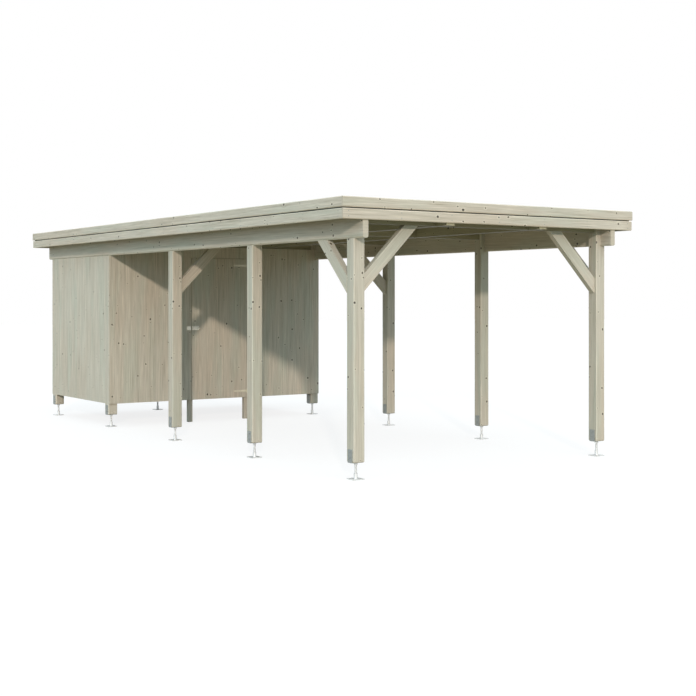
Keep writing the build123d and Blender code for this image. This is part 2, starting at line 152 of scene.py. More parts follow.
# Seeds of the differences from board to board
END_WALL_SEEDS = {
    "front_wall_left": 3,
    "front_wall_right": 13,
    "over_door_panel": 23,
    "rear_store_wall": 33,
}
SIDE_WALL_SEEDS = {"left_store_wall": 50, "right_store_wall": 57}
DOOR_SEED = 81
DECK_SEED = 29

# In the looks below, arris sets a painted highlight on the chamfered arrises, tint the painted
# shade of timber under the roof, and soffit a painted shade on faces that look down
WALL_LOOK = {"knot_cell": (0.12, 0.42), "chance": 0.34, "lined": 1.5}
DECK_LOOK = {"turn": GRAIN_ALONG_X, "arris": 0.0, "tint": UNDER_ROOF_SHADE}
JOIST_LOOK = {"arris": 0.0, "tint": UNDER_ROOF_SHADE, "soffit": 0.6}
FASCIA_LOOK = {"knot_cell": (0.08, 0.3), "chance": 0.3, "lined": 1.5, "arris": 0.35}

POSTS = (
    "front_posts",
    "second_posts",
    "third_posts",
    "store_front_posts",
    "store_rear_posts",
    "rear_middle_post",
    "left_door_post",
    "right_door_post",
)
ROWS = ("lower", "upper")
SIDE_FASCIAS = [f"{side}_{row}_fascia" for side in ("left", "right") for row in ROWS]
END_FASCIAS = [f"{side}_{row}_fascia" for side in ("front", "rear") for row in ROWS]
FRAME_FINISHES = (
    ("post_spruce", {"knot_cell": (0.09, 0.3), "chance": 0.4}, POSTS),
    (
        "beam_spruce",
        {"turn": GRAIN_ALONG_Y, "knot_cell": (0.08, 0.22), "chance": 0.4},
        ("left_side_beam", "right_side_beam"),
    ),
    ("purlin_spruce", {"turn": GRAIN_ALONG_Y, **JOIST_LOOK}, ("purlins", "edge_rails")),
    ("cross_beam_spruce", {"turn": GRAIN_ALONG_X, **JOIST_LOOK}, ("cross_beams",)),
    ("rail_spruce", {"turn": GRAIN_ALONG_X}, ("door_head", "wall_rails", "upstand_battens")),
    ("cross_brace_spruce", {"turn": GRAIN_RISING_IN_X, "twin": True}, ("cross_braces",)),
    ("side_brace_spruce", {"turn": GRAIN_RISING_IN_Y}, ("side_braces",)),
    ("side_fascia_spruce", {"turn": GRAIN_ALONG_Y, **FASCIA_LOOK}, SIDE_FASCIAS),
    ("end_fascia_spruce", {"turn": GRAIN_ALONG_X, **FASCIA_LOOK}, END_FASCIAS),
)

WHITE = (1.0, 1.0, 1.0, 1.0)
SKY = (0.72, 0.9, 1.0, 1.0)
FLOOR_BOUNCE = (0.37, 0.315, 0.2, 1.0)  # the floor's colour where it lights the part
FLOOR_GLOW = 1.06
FLOOR_VEIL = 0.78  # share of the glow in the floor that is seen
# Name, its strength in the stage settings, colour, aim and spread in degrees
LAMPS = (
    ("key", "sun", (1.0, 0.85, 0.73), (0.58, 1.0, -0.325), 2.0),
    ("side", "side", (0.72, 0.92, 1.0), (0.95, 0.12, -0.3), 50.0),
    ("front", "front", (0.98, 1.0, 0.95), (0.1, 0.7, -0.7), 50.0),
)


# Settings


def size_setting(name, description, default):
    """A setting in metres."""
    return FloatProperty(name=name, description=description, default=default, unit="LENGTH")


def colour_setting(name, description, default):
    """A setting for a colour."""
    return FloatVectorProperty(
        name=name, description=description, default=default, subtype="COLOR"
    )


class CARPORT_PG_sizes(bpy.types.PropertyGroup):
    """Sizes of the boards, the fastenings and the knots."""

    wall_pitch: size_setting("Wall Board", "Face width of a wall board", 0.0935)
    deck_pitch: size_setting("Roof Board", "Face width of a roof board", 0.095)
    groove: size_setting("Groove", "Depth of the groove along each board edge", 0.0013)
    joint: size_setting("Joint", "Open joint at the bottom of a groove", 0.0003)
    nail_radius: size_setting("Nail Head", "Radius of a nail head", 0.0028)
    screw_radius: size_setting("Screw Head", "Radius of a screw head", 0.005)
    screw_spacing: size_setting(
        "Screw Spacing", "Distance between the screws of a fascia board", 0.6
    )
    bolt_radius: size_setting(
        "Hexagon Head", "Half the width over the flats of a bracket's bolt", 0.0065
    )
    thread_pitch: size_setting("Thread Pitch", "Rise of the thread on an adjusting rod", 0.003)
    felt_width: size_setting("Felt Width", "Width of a length of roofing felt", 1.0)
    knot_radius: size_setting("Knot", "Radius of a knot", 0.0082)
    pin_knot_radius: size_setting("Pin Knot", "Radius of a pin knot", 0.0048)


class CARPORT_PG_colours(bpy.types.PropertyGroup):
    """Colours of the finishes."""

    glaze: colour_setting("Glaze", "Pale glaze on the timber", (0.51, 0.475, 0.405))
    glaze_green: colour_setting("Green Glaze", "Where the glaze lies thick", (0.455, 0.46, 0.39))
    glaze_warm: colour_setting(
        "Warm Glaze", "Where the timber shows through the glaze", (0.50, 0.445, 0.37)
    )
    late_wood: colour_setting("Late Wood", "Darker lines of the grain", (0.31, 0.28, 0.215))
    knot: colour_setting("Knot", "Heart of a knot", (0.045, 0.033, 0.024))
    knot_halo: colour_setting("Knot Halo", "Glaze round a knot", (0.68, 0.64, 0.53))
    end_grain: colour_setting("End Grain", "Sawn ends", (0.5, 0.45, 0.36))
    zinc: colour_setting("Zinc", "Weathered galvanised steel", (0.34, 0.36, 0.35))
    hinge_zinc: colour_setting("Hinge Zinc", "Galvanised steel of the hinges", (0.7, 0.66, 0.53))
    bright_zinc: colour_setting("Bright Zinc", "New galvanised steel", (0.74, 0.75, 0.75))
    bolt_zinc: colour_setting("Bolt Zinc", "Polished zinc of the sliding bolt", (0.92, 0.88, 0.78))
    felt: colour_setting("Felt", "Mineral-faced roofing felt", (0.07, 0.072, 0.075))
    floor: colour_setting("Floor", "Studio floor", (0.95, 0.95, 0.95))


class CARPORT_PG_stage(bpy.types.PropertyGroup):
    """Camera and lamps."""

    eye: FloatVectorProperty(
        name="Eye",
        description="Place of the camera",
        default=(-7.949, -13.1845, 1.672),
        subtype="XYZ",
        unit="LENGTH",
    )
    turn: FloatProperty(
        name="Turn",
        description="Camera's turn to the right of the long side",
        default=0.591,
        subtype="ANGLE",
    )
    lens: FloatProperty(name="Lens", description="Focal length in millimetres", default=64.12)
    drop: FloatProperty(name="Drop", description="Shift of the frame, in widths", default=-0.0725)
    sun: FloatProperty(name="Sun", description="Strength of the key lamp", default=1.62)
    side: FloatProperty(
        name="Side", description="Strength of the soft cool lamp on the left", default=0.76
    )
    front: FloatProperty(
        name="Front", description="Strength of the soft high lamp in front", default=0.95
    )
    ambient: FloatProperty(
        name="Ambient", description="Strength of the light from all round", default=0.82
    )


SETTINGS = {
    "carport_sizes": CARPORT_PG_sizes,
    "carport_colours": CARPORT_PG_colours,
    "carport_stage": CARPORT_PG_stage,
}


# Node building


class Field:
    """An output socket that takes part in arithmetic."""

    def __init__(self, graph, socket):
        self.graph = graph
        self.socket = socket

    def __add__(self, other):
        return self.graph.maths("ADD", self, other)

    def __sub__(self, other):
        return self.graph.maths("SUBTRACT", self, other)

    def __rsub__(self, other):
        return self.graph.maths("SUBTRACT", other, self)

    def __mul__(self, other):
        return self.graph.maths("MULTIPLY", self, other)

    def __truediv__(self, other):
        return self.graph.maths("DIVIDE", self, other)

    def __lt__(self, other):
        return self.graph.maths("LESS_THAN", self, other)

    def __gt__(self, other):
        return self.graph.maths("GREATER_THAN", self, other)

    def __abs__(self):
        return self.graph.maths("ABSOLUTE", self)

    __radd__ = __add__
    __rmul__ = __mul__


class Graph:
    """Adds nodes and links to one node tree."""

    def __init__(self, tree):
        self.tree = tree

    def node(self, kind, settings=None, sockets=None):
        """Add a node, with its settings first and then its sockets."""
        made = self.tree.nodes.new(kind)
        for name, value in (settings or {}).items():
            setattr(made, name, value)
        for name, value in (sockets or {}).items():
            for one in value if isinstance(value, list) else [value]:
                self.feed(made.inputs[name], one)
        return made

    def feed(self, socket, value):
        """Link a socket to another, or set it to a value."""
        if isinstance(value, Field):
            value = value.socket
        if isinstance(value, bpy.types.NodeSocket):
            self.tree.links.new(value, socket)
        else:
            socket.default_value = value

    def first(self, kind, settings=None, sockets=None):
        """Add a node and return its first output."""
        return self.node(kind, settings, sockets).outputs[0]

    def field(self, kind, output, settings=None, sockets=None):
        """Add a node and return one of its outputs for arithmetic."""
        return Field(self, self.node(kind, settings, sockets).outputs[output])

    def maths(self, operation, *values):
        """One Math node."""
        return self.field("ShaderNodeMath", 0, {"operation": operation}, dict(enumerate(values)))

    def split(self, vector):
        """The three parts of a vector."""
        parts = self.node("ShaderNodeSeparateXYZ", None, {0: vector})
        return [Field(self, socket) for socket in parts.outputs]

    def vector(self, x, y, z):
        """A vector of three values."""
        return self.field("ShaderNodeCombineXYZ", 0, None, {0: x, 1: y, 2: z})

    def ramp(self, value, low, high):
        """0 at the first level, 1 at the second, and smooth between them."""
        settings = {"interpolation_type": "SMOOTHSTEP"}
        sockets = {"Value": value, "From Min": low, "From Max": high}
        return self.field("ShaderNodeMapRange", "Result", settings, sockets)

    def blend(self, share, first, second):
        """Mix two colours."""
        settings = {"data_type": "RGBA", "clamp_factor": True}
        return self.field("ShaderNodeMix", 2, settings, {0: share, 6: first, 7: second})

    def tint(self, colour, factor):
        """Multiply a colour by another."""
        sockets = {0: colour, 1: factor}
        return self.field("ShaderNodeVectorMath", 0, {"operation": "MULTIPLY"}, sockets)

    def shade(self, colour, level):
        """Make a colour lighter or darker."""
        return self.tint(colour, self.vector(level, level, level))

    def noise(self, place, scale, detail=2.0, roughness=0.5):
        """Noise between about 0 and 1."""
        sockets = {"Vector": place, "Scale": scale, "Detail": detail, "Roughness": roughness}
        return self.field("ShaderNodeTexNoise", 0, None, sockets)


def opaque(colour):
    """A colour with its alpha."""
    return (*colour, 1.0)


def new_material(name):
    """An empty material and its graph."""
    material = bpy.data.materials.new(name)
    material.use_nodes = True
    material.node_tree.nodes.clear()
    return material, Graph(material.node_tree)


def finish_material(graph, colour, roughness, height, depth, metallic=0.0):
    """Close a material with one principled shader."""
    relief = {"Strength": 0.6, "Distance": depth, "Height": height}
    sockets = {
        "Base Color": colour,
        "Roughness": roughness,
        "Metallic": metallic,
        "Normal": graph.first("ShaderNodeBump", None, relief),
    }
    surface = graph.first("ShaderNodeBsdfPrincipled", None, sockets)
    graph.node("ShaderNodeOutputMaterial", None, {"Surface": surface})


# Finishes


def grain_frame(graph, turn, twin):
    """Place and facing on a timber, turned so that its grain runs along Z.

    The two halves of a twin mirror each other about the middle of the carport.
    """
    source = graph.node("ShaderNodeTexCoord")
    turned = []
    for name in ("Object", "Normal"):
        vector = source.outputs[name]
        if twin:
            side = graph.maths("SIGN", graph.split(source.outputs["Object"])[0])
            x, y, z = graph.split(vector)
            vector = graph.vector(x * side, y, z)
        sockets = {"Vector": vector, "Rotation": turn}
        turned.append(graph.field("ShaderNodeMapping", 0, None, sockets))
    return turned


def knots(graph, across, along, cell, radius, chance, shift):
    """Distance from the nearest knot in radii, its offset across, and whether it is there."""
    wide, tall = cell
    u = across / wide + shift
    v = along / tall + 3.7 * shift
    sockets = {"Vector": graph.vector(u, v, 0.0), "Scale": 1.0}
    spots = graph.node("ShaderNodeTexVoronoi", {"voronoi_dimensions": "2D"}, sockets)
    centre = graph.split(spots.outputs["Position"])
    lot = graph.split(spots.outputs["Color"])
    du = (u - centre[0]) * wide
    dv = (v - centre[1]) * tall * KNOT_ROUNDNESS
    size = radius * (SMALLEST_KNOT + KNOT_SPREAD * lot[0])
    distance = graph.maths("SQRT", du * du + dv * dv) / size
    return distance, du, lot[1] < chance


def growth_lines(graph, bent, depth, along, lot, shift):
    """Streaks, broad bands, thin lines and fibres of the grain."""
    noises = []
    for fine, long, deep, apart, detail, roughness in (STREAKS, BANDS):
        place = graph.vector(bent * fine + shift, along * long, depth * deep + lot * apart)
        noises.append(graph.noise(place, 1.0, detail, roughness))
    sway = graph.noise(graph.vector(bent * 5.0 + shift, along * 0.55, lot * 23.0), 1.0, 1.0)
    ring = graph.maths("FRACT", bent * RINGS_PER_METRE + sway * 9.0 + depth * 20.0)
    line = graph.ramp(ring, 0.45, 0.92) * graph.ramp(ring, 1.0, 0.93)
    fibre = graph.noise(graph.vector(bent * 420.0, along * 14.0, depth * 420.0), 1.0, 2.0)
    return (*noises, line, fibre)


def glazed(graph, across, depth, along):
    """Glaze that lies thick in one place and lets the timber through in another."""
    colours = bpy.context.scene.carport_colours
    thin = graph.noise(graph.vector(across * 2.6, depth * 2.6, along * 0.7 + 3.1), 1.0, 2.0)
    thick = graph.noise(graph.vector(across * 6.0, depth * 6.0, along * 0.8), 1.0, 2.0)
    share = graph.ramp(thin, 0.4, 0.66)
    colour = graph.blend(share, opaque(colours.glaze), opaque(colours.glaze_warm))
    return graph.blend(graph.ramp(thick, 0.46, 0.66) * 0.75, colour, opaque(colours.glaze_green))


def sawn_end(graph, place, x, y):
    """End grain with its year rings."""
    colours = bpy.context.scene.carport_colours
    sway = graph.noise(graph.vector(x, y, 0.0), 9.0, 1.0)
    growth = graph.maths("FRACT", (x + y * 0.35 + sway * 0.09) * 160.0)
    share = graph.ramp(growth, 0.4, 0.95) * 0.45
    colour = graph.blend(share, opaque(colours.end_grain), opaque(colours.late_wood))
    return graph.shade(colour, 0.86 + 0.2 * graph.noise(place, 900.0, 1.0))


def timber(
    name,
    turn=GRAIN_UPRIGHT,
    twin=False,
    knot_cell=(0.09, 0.32),
    chance=0.3,
    lined=1.0,
    arris=0.16,
    tint=None,
    soffit=0.0,
):
    """Planed spruce under a pale glaze, with grain along one direction.

    Knots stand in cells of one size, each with a chance. The other levels are the
    strength of the grain, the painted highlight on the arrises and the painted shade on faces that
    look down; the tint multiplies the colour and here paints shade on timber under the roof.
    """
    colours = bpy.context.scene.carport_colours
    sizes = bpy.context.scene.carport_sizes
    material, graph = new_material(name)
    place, facing = grain_frame(graph, turn, twin)
    x, y, z = graph.split(place)
    nx, ny, nz = graph.split(facing)
    lot = graph.field("ShaderNodeAttribute", "Fac", {"attribute_name": "lot"})
    broad = abs(ny) > 0.6
    across = y + (x - y) * broad
    depth = x + (y - x) * broad
    shift = lot * 37.0 + broad * 11.3

    wobble = graph.noise(place, 150.0, 1.0) * 0.9 - 0.45
    bent = across
    halo = heart = 0.0
    for cell, radius, share, moved, effects in (
        (knot_cell, sizes.knot_radius, chance, shift, KNOT_EFFECTS),
        (
            PIN_KNOT_CELL,
            sizes.pin_knot_radius,
            PIN_KNOT_SHARE * chance,
            shift + PIN_KNOT_SHIFT,
            PIN_KNOT_EFFECTS,
        ),
    ):
        distance, du, there = knots(graph, across, z, cell, radius, share, moved)
        levels = {
            effect: graph.ramp(distance + wobble, start, full) * there * strength
            for effect, (start, full, strength) in effects.items()
        }
        bent = bent - du * levels["bend"]
        halo = halo + levels["halo"]
        heart = heart + levels["heart"]
    streak, band, line, fibre = growth_lines(graph, bent, depth, z, lot, shift)

    colour = glazed(graph, across, depth, z)
    late_wood = opaque(colours.late_wood)
    colour = graph.blend(line * (0.14 * lined), colour, late_wood)
    colour = graph.blend(graph.ramp(streak, 0.52, 0.72) * (0.55 * lined), colour, late_wood)
    colour = graph.blend(graph.ramp(band, 0.5, 0.68) * (0.22 * lined), colour, late_wood)
    pale = graph.ramp(streak, 0.48, 0.34) * (0.13 * lined)
    colour = graph.shade(colour, 0.93 + 0.04 * lot + pale + 0.12 * band + 0.05 * fibre)

    colour = graph.blend(halo, colour, opaque(colours.knot_halo))
    colour = graph.blend(heart, colour, opaque(colours.knot))

    end = abs(nz) > 0.75
    colour = graph.blend(end * 0.45, colour, sawn_end(graph, place, x, y))
    # Painted highlight: the chamfered arrises between the faces are made lighter, the sawn ends
    # left out
    edge = graph.ramp(graph.maths("MAXIMUM", abs(nx), abs(ny)), 0.86, 0.72) * (1.0 - end)
    colour = graph.shade(colour, 1.0 + arris * edge)
    # Painted shade: the tint darkens the timber under the roof, the only timber given one
    if tint:
        colour = graph.tint(colour, tint)
    # Painted shade: faces that look down are made darker
    if soffit:
        rise = graph.split(graph.node("ShaderNodeTexCoord").outputs["Normal"])[2]
        colour = graph.shade(colour, 1.0 - graph.ramp(rise, -0.5, -0.9) * soffit)

    height = line * 0.35 + streak * 0.5 + fibre * 0.25 - heart * 0.6
    roughness = 0.58 + 0.16 * streak - 0.12 * heart
    finish_material(graph, colour, roughness, height, depth=0.0009)
    return material


def galvanised(name, zinc, dull=0.5):
    """Hot-dip zinc with its spangle."""
    material, graph = new_material(name)
    place = graph.node("ShaderNodeTexCoord").outputs["Object"]
    warped = graph.noise(place, 60.0, 2.0)
    cells = graph.node("ShaderNodeTexVoronoi", None, {"Vector": place, "Scale": 140.0})
    flake = graph.split(cells.outputs["Color"])
    cloud = graph.noise(place, 14.0, 3.0)
    colour = graph.shade(zinc, 0.82 + 0.22 * flake[0] + 0.16 * (cloud - 0.5))
    roughness = dull * 0.75 + 0.16 * flake[1] + 0.12 * warped
    height = warped * 0.5 + flake[2] * 0.1
    finish_material(graph, colour, roughness, height, depth=0.0004, metallic=0.5)
    return material


def mineral_felt(name):
    """Roofing felt with crushed slate on it."""
    material, graph = new_material(name)
    place = graph.node("ShaderNodeTexCoord").outputs["Object"]
    cells = graph.node("ShaderNodeTexVoronoi", None, {"Vector": place, "Scale": 420.0})
    chip = graph.split(cells.outputs["Color"])
    cloud = graph.noise(place, 1.6, 4.0)
    felt = bpy.context.scene.carport_colours.felt
    colour = graph.shade(felt, 0.55 + 1.0 * chip[0] + 0.5 * cloud)
    finish_material(graph, colour, 0.86 + 0.1 * chip[1], chip[2], depth=0.0012)
    return material


def dress(material, *names):
    """Give a material to CAD nodes."""
    for name in names:
        data = NODES[name].data
        data.materials.clear()
        data.materials.append(material)


# Geometry trees


def new_tree(name, inputs):
    """A geometry tree with named inputs."""
    tree = bpy.data.node_groups.new(name, "GeometryNodeTree")
    tree.interface.new_socket("Geometry", in_out="INPUT", socket_type="NodeSocketGeometry")
    for title, kind in inputs.items():
        tree.interface.new_socket(title, in_out="INPUT", socket_type="NodeSocket" + kind)
    tree.interface.new_socket("Geometry", in_out="OUTPUT", socket_type="NodeSocketGeometry")
    graph = Graph(tree)
    return graph, graph.node("NodeGroupInput").outputs


def close_tree(graph, points, material, instance, **extra):
    """End a tree in real copies of one shape on its points, with their material."""
    sockets = {"Points": points, "Instance": instance, **extra}
    placed = graph.first("GeometryNodeInstanceOnPoints", None, sockets)
    real = graph.first("GeometryNodeRealizeInstances", None, {0: placed})
    sockets = {"Geometry": real, "Material": material}
    painted = graph.first("GeometryNodeSetMaterial", None, sockets)
    graph.node("NodeGroupOutput", None, {0: painted})
    return graph.tree


def named(graph, title, kind="FLOAT"):
    """A named attribute of the points."""
    settings = {"data_type": kind}
    return graph.field("GeometryNodeInputNamedAttribute", "Attribute", settings, {"Name": title})


def head_rotation(graph):
    """Turn Z to the way a point faces."""
    sockets = {"Vector": named(graph, "facing", "FLOAT_VECTOR")}
    return graph.field("FunctionNodeAlignRotationToVector", 0, {"axis": "Z"}, sockets)


def extruded(graph, mesh, **sockets):
    """Push a face of a mesh out or in."""
    sockets = {"Mesh": mesh, **sockets, "Individual": False}
    return graph.node("GeometryNodeExtrudeMesh", None, sockets)


def board_tree():
    """A grooved board on every point, as wide and long as the point says."""
    inputs = {
        "Width": "Float",
        "Thickness": "Float",
        "Groove": "Float",
        "Joint": "Float",
        "Turn": "Rotation",
        "Material": "Material",
    }
    graph, given = new_tree("grooved_boards", inputs)
    width = Field(graph, given["Width"])
    body = width - Field(graph, given["Joint"])
    sockets = {"Width": body, "Height": given["Thickness"]}
    outline = graph.first("GeometryNodeCurvePrimitiveQuadrilateral", None, sockets)
    sockets = {"Curve": outline, "Count": 1, "Radius": given["Groove"]}
    eased = graph.first("GeometryNodeFilletCurve", {"mode": "POLY"}, sockets)
    face = graph.first("GeometryNodeFillCurve", {"mode": "NGONS"}, {"Curve": eased})
    run = extruded(graph, face, Offset=(0.0, 0.0, 1.0)).outputs[0]
    foot = graph.first("GeometryNodeFlipFaces", None, {"Mesh": face})
    joined = graph.first("GeometryNodeJoinGeometry", None, {0: [run, foot]})
    board = graph.first("GeometryNodeMergeByDistance", None, {"Geometry": joined})
    scale = graph.vector(named(graph, "wide") / width, 1.0, named(graph, "long"))
    return close_tree(
        graph, given["Geometry"], given["Material"], board, Rotation=given["Turn"], Scale=scale
    )


def screw_tree():
    """A screw head with a socket on every point."""
    inputs = {
        "Radius": "Float",
        "Height": "Float",
        "Sides": "Int",
        "Socket": "Float",
        "Material": "Material",
    }
    graph, given = new_tree("screw_heads", inputs)
    sockets = {"Vertices": given["Sides"], "Radius": given["Radius"]}
    disc = graph.first("GeometryNodeMeshCircle", {"fill_type": "NGON"}, sockets)
    height = Field(graph, given["Height"])
    sockets = {"Offset": graph.vector(0.0, 0.0, height), "Offset Scale": 1.0}
    crown = extruded(graph, disc, **sockets).outputs
    sockets = {"Selection": crown["Top"], "Offset Scale": 0.0}
    rim = extruded(graph, crown["Mesh"], **sockets).outputs
    sockets = {"Geometry": rim["Mesh"], "Selection": rim["Top"], "Scale": given["Socket"]}
    shrunk = graph.first("GeometryNodeScaleElements", None, sockets)
    sunk_by = graph.vector(0.0, 0.0, height * -SOCKET_DEPTH)
    sockets = {"Selection": rim["Top"], "Offset": sunk_by}
    sunk = extruded(graph, shrunk, **sockets).outputs["Mesh"]
    turned = head_rotation(graph)
    return close_tree(graph, given["Geometry"], given["Material"], sunk, Rotation=turned)


def drum(graph, sides, radius, low, high):
    """A closed upright prism between two heights."""
    shape = {"Vertices": sides, "Radius": radius, "Depth": high - low}
    made = graph.first("GeometryNodeMeshCylinder", {"fill_type": "NGON"}, shape)
    middle = graph.vector(0.0, 0.0, (high + low) * 0.5)
    return graph.first("GeometryNodeTransform", None, {"Geometry": made, "Translation": middle})


def hexagon_tree():
    """A washer, a hexagon and a stud end on every point."""
    inputs = {"Radius": "Float", "Height": "Float", "Stud": "Float", "Material": "Material"}
    graph, given = new_tree("hexagon_heads", inputs)
    radius = Field(graph, given["Radius"])
    height = Field(graph, given["Height"])
    top = height + Field(graph, given["Stud"])
    washer_top = height * 0.22
    washer = drum(graph, 16, radius * 1.35, 0.0, washer_top)
    hexagon = drum(graph, 6, radius * CORNERS_OVER_FLATS, washer_top, height)
    stud = drum(graph, 10, radius * 0.56, height * 0.5, top)
    whole = graph.first("GeometryNodeJoinGeometry", None, {0: [washer, hexagon, stud]})
    turned = head_rotation(graph)
    return close_tree(graph, given["Geometry"], given["Material"], whole, Rotation=turned)


def rod_tree():
    """A threaded rod with its nut on every point."""
    inputs = {
        "Radius": "Float",
        "Length": "Float",
        "Pitch": "Float",
        "Nut Radius": "Float",
        "Nut Height": "Float",
        "Material": "Material",
    }
    graph, given = new_tree("threaded_rods", inputs)
    length = Field(graph, given["Length"])
    pitch = Field(graph, given["Pitch"])
    crest = pitch * THREAD_DEPTH
    core_radius = Field(graph, given["Radius"]) - crest
    thread_top = length - Field(graph, given["Nut Height"])
    core = drum(graph, 20, core_radius, 0.0, length)
    nut = drum(graph, 6, given["Nut Radius"], thread_top, length)
    spiral = {
        "Resolution": 16,
        "Rotations": thread_top / pitch,
        "Start Radius": core_radius,
        "End Radius": core_radius,
        "Height": thread_top,
    }
    path = graph.first("GeometryNodeCurveSpiral", None, spiral)
    sockets = {"Resolution": 4, "Radius": crest}
    ridge = graph.first("GeometryNodeCurvePrimitiveCircle", None, sockets)
    sockets = {"Curve": path, "Profile Curve": ridge, "Fill Caps": True}
    thread = graph.first("GeometryNodeCurveToMesh", None, sockets)
    whole = graph.first("GeometryNodeJoinGeometry", None, {0: [core, nut, thread]})
    return close_tree(graph, given["Geometry"], given["Material"], whole)


TREES = {}


def tree_of(maker):
    """Each geometry tree is built once."""
    if maker not in TREES:
        TREES[maker] = maker()
    return TREES[maker]


def carrier_of(name, points):
    """A mesh of bare points that carry their values as attributes."""
    carrier = bpy.data.meshes.new(name + "_points")
    carrier.from_pydata([point["at"] for point in points], [], [])
    for title, example in points[0].items():
        if title == "at":
            continue
        many = isinstance(example, tuple)
        layer = carrier.attributes.new(title, "FLOAT_VECTOR" if many else "FLOAT", "POINT")
        for index, point in enumerate(points):
            setattr(layer.data[index], "vector" if many else "value", point[title])
    return carrier


def grow(name, maker, points, values, body, slot, replaced=()):
    """Run a tree over points and keep the result as one plain mesh piece."""
    carrier = carrier_of(name, points)
    piece = bpy.data.objects.new(name, carrier)
    bpy.context.scene.collection.objects.link(piece)
    tree = tree_of(maker)
    modifier = piece.modifiers.new("grow", "NODES")
    modifier.node_group = tree
    for item in tree.interface.items_tree:
        if item.in_out == "INPUT" and item.name in values:
            modifier[item.identifier] = values[item.name]
    graph = bpy.context.evaluated_depsgraph_get()
    mesh = bpy.data.meshes.new_from_object(
        piece.evaluated_get(graph), preserve_all_data_layers=True, depsgraph=graph
    )
    piece.modifiers.clear()
    piece.data = mesh
    mesh.name = name
    bpy.data.meshes.remove(carrier)
    if not mesh.polygons:
        raise RuntimeError(name + " came out empty")
    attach(piece, body)
    if replaced:
        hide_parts(*replaced)


# Boards


def lot_of(index, seed):
    """A fixed number between 0 and 1 for each board."""
    value = (index * 0.6180339887 + seed * 0.7548776662) % 1.0
    return (value * 7.31 + 0.137) % 1.0


def row_of_boards(low, high, pitch, foot, top, seed, flat, axis):
    """Points of equal boards side by side along one axis."""
    count = max(1, round((high - low) / pitch))
    width = (high - low) / count
    points = []
    for index in range(count):
        middle = low + (index + 0.5) * width
        at = (middle, flat, foot) if axis == "x" else (flat, middle, foot)
        points.append({"at": at, "wide": width, "long": top - foot, "lot": lot_of(index, seed)})
    return points


def board_values(thickness, turn, material):
    """Inputs of the board tree."""
    sizes = bpy.context.scene.carport_sizes
    return {
        "Width": sizes.wall_pitch,
        "Thickness": thickness,
        "Groove": sizes.groove,
        "Joint": sizes.joint,
        "Turn": turn,
        "Material": material,
    }


def end_wall_points(node, seed):
    """Boards of an end wall, lower where the wall is notched under a side beam."""
    pitch = bpy.context.scene.carport_sizes.wall_pitch
    low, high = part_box(node)
    inner = abs(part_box("left_side_beam")[1].x)
    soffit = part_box("left_side_beam")[0].z
    flat = (low.y + high.y) / 2
    points = []
    left = max(low.x, -inner)
    right = min(high.x, inner)
    if low.x < -inner:
        points += row_of_boards(low.x, -inner, WHOLE_WIDTH, low.z, soffit, seed + 1, flat, "x")
    points += row_of_boards(left, right, pitch, low.z, high.z, seed, flat, "x")
    if high.x > inner:
        points += row_of_boards(inner, high.x, WHOLE_WIDTH, low.z, soffit, seed + 2, flat, "x")
    return points


class CARPORT_OT_wall_boards(bpy.types.Operator):
    """Board the walls of the store"""

    bl_idname = "carport.wall_boards"
    bl_label = "Wall Boards"

    def execute(self, context):
        pitch = context.scene.carport_sizes.wall_pitch
        material = timber("wall_boards_spruce", **WALL_LOOK)
        finish = ("carport", "wall_boards")
        for node, seed in END_WALL_SEEDS.items():
            low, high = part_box(node)
            points = end_wall_points(node, seed)
            values = board_values(high.y - low.y, FACING_Y, material)
            grow(node + "_boards", board_tree, points, values, *finish, [node])
        for node, seed in SIDE_WALL_SEEDS.items():
            low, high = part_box(node)
            middle = (low.x + high.x) / 2
            points = row_of_boards(low.y, high.y, pitch, low.z, high.z, seed, middle, "y")
            values = board_values(high.x - low.x, FACING_X, material)
            grow(node + "_boards", board_tree, points, values, *finish, [node])
        return {"FINISHED"}


class CARPORT_OT_door_boards(bpy.types.Operator):
    """Board the leaf of the door and finish its ledges and diagonals"""

    bl_idname = "carport.door_boards"
    bl_label = "Door Boards"

    def execute(self, context):
        pitch = context.scene.carport_sizes.wall_pitch
        low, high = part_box("door_leaf")
        middle = (low.y + high.y) / 2
        points = row_of_boards(low.x, high.x, pitch, low.z, high.z, DOOR_SEED, middle, "x")
        values = board_values(high.y - low.y, FACING_Y, timber("door_spruce", **WALL_LOOK))
        finish = ("door", "wall_boards")
        grow("door_leaf_boards", board_tree, points, values, *finish, ["door_leaf"])
        dress(timber("ledge_spruce", turn=GRAIN_ALONG_X), "door_ledges")
        dress(timber("diagonal_spruce", turn=GRAIN_RISING_IN_X), "door_diagonals")
        return {"FINISHED"}


def deck_points(pitch):
    """Boards of the roof deck, from the front to the rear."""
    low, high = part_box("roof_deck")
    count = round((high.y - low.y) / pitch)
    width = (high.y - low.y) / count
    middle = (low.z + high.z) / 2
    points = []
    for index in range(count):
        at = (low.x, low.y + (index + 0.5) * width, middle)
        points.append(
            {"at": at, "wide": width, "long": high.x - low.x, "lot": lot_of(index, DECK_SEED)}
        )
    return points


def lap_points(felt_width):
    """The laps between the lengths of felt."""
    low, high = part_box("roof_felt")
    count = round((high.y - low.y) / felt_width)
    step = (high.y - low.y) / count
    points = []
    for index in range(1, count):
        at = (low.x, low.y + index * step, high.z + FELT_THICKNESS / 2)
        points.append({"at": at, "wide": FELT_LAP, "long": high.x - low.x, "lot": 0.0})
    return points


def deck_edge_points(axis):
    """Felt over the two edges of the deck that face along one axis."""
    low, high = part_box("roof_deck")
    points = []
    for side, face in ((-1.0, low[axis]), (1.0, high[axis])):
        at = [low.x, low.y, (low.z + high.z) / 2]
        at[axis] = face + side * FELT_THICKNESS / 2
        wide = high.z - low.z - DECK_FELT_MARGIN
        length = high[1 - axis] - low[1 - axis]
        points.append({"at": tuple(at), "wide": wide, "long": length, "lot": 0.0})
    return points


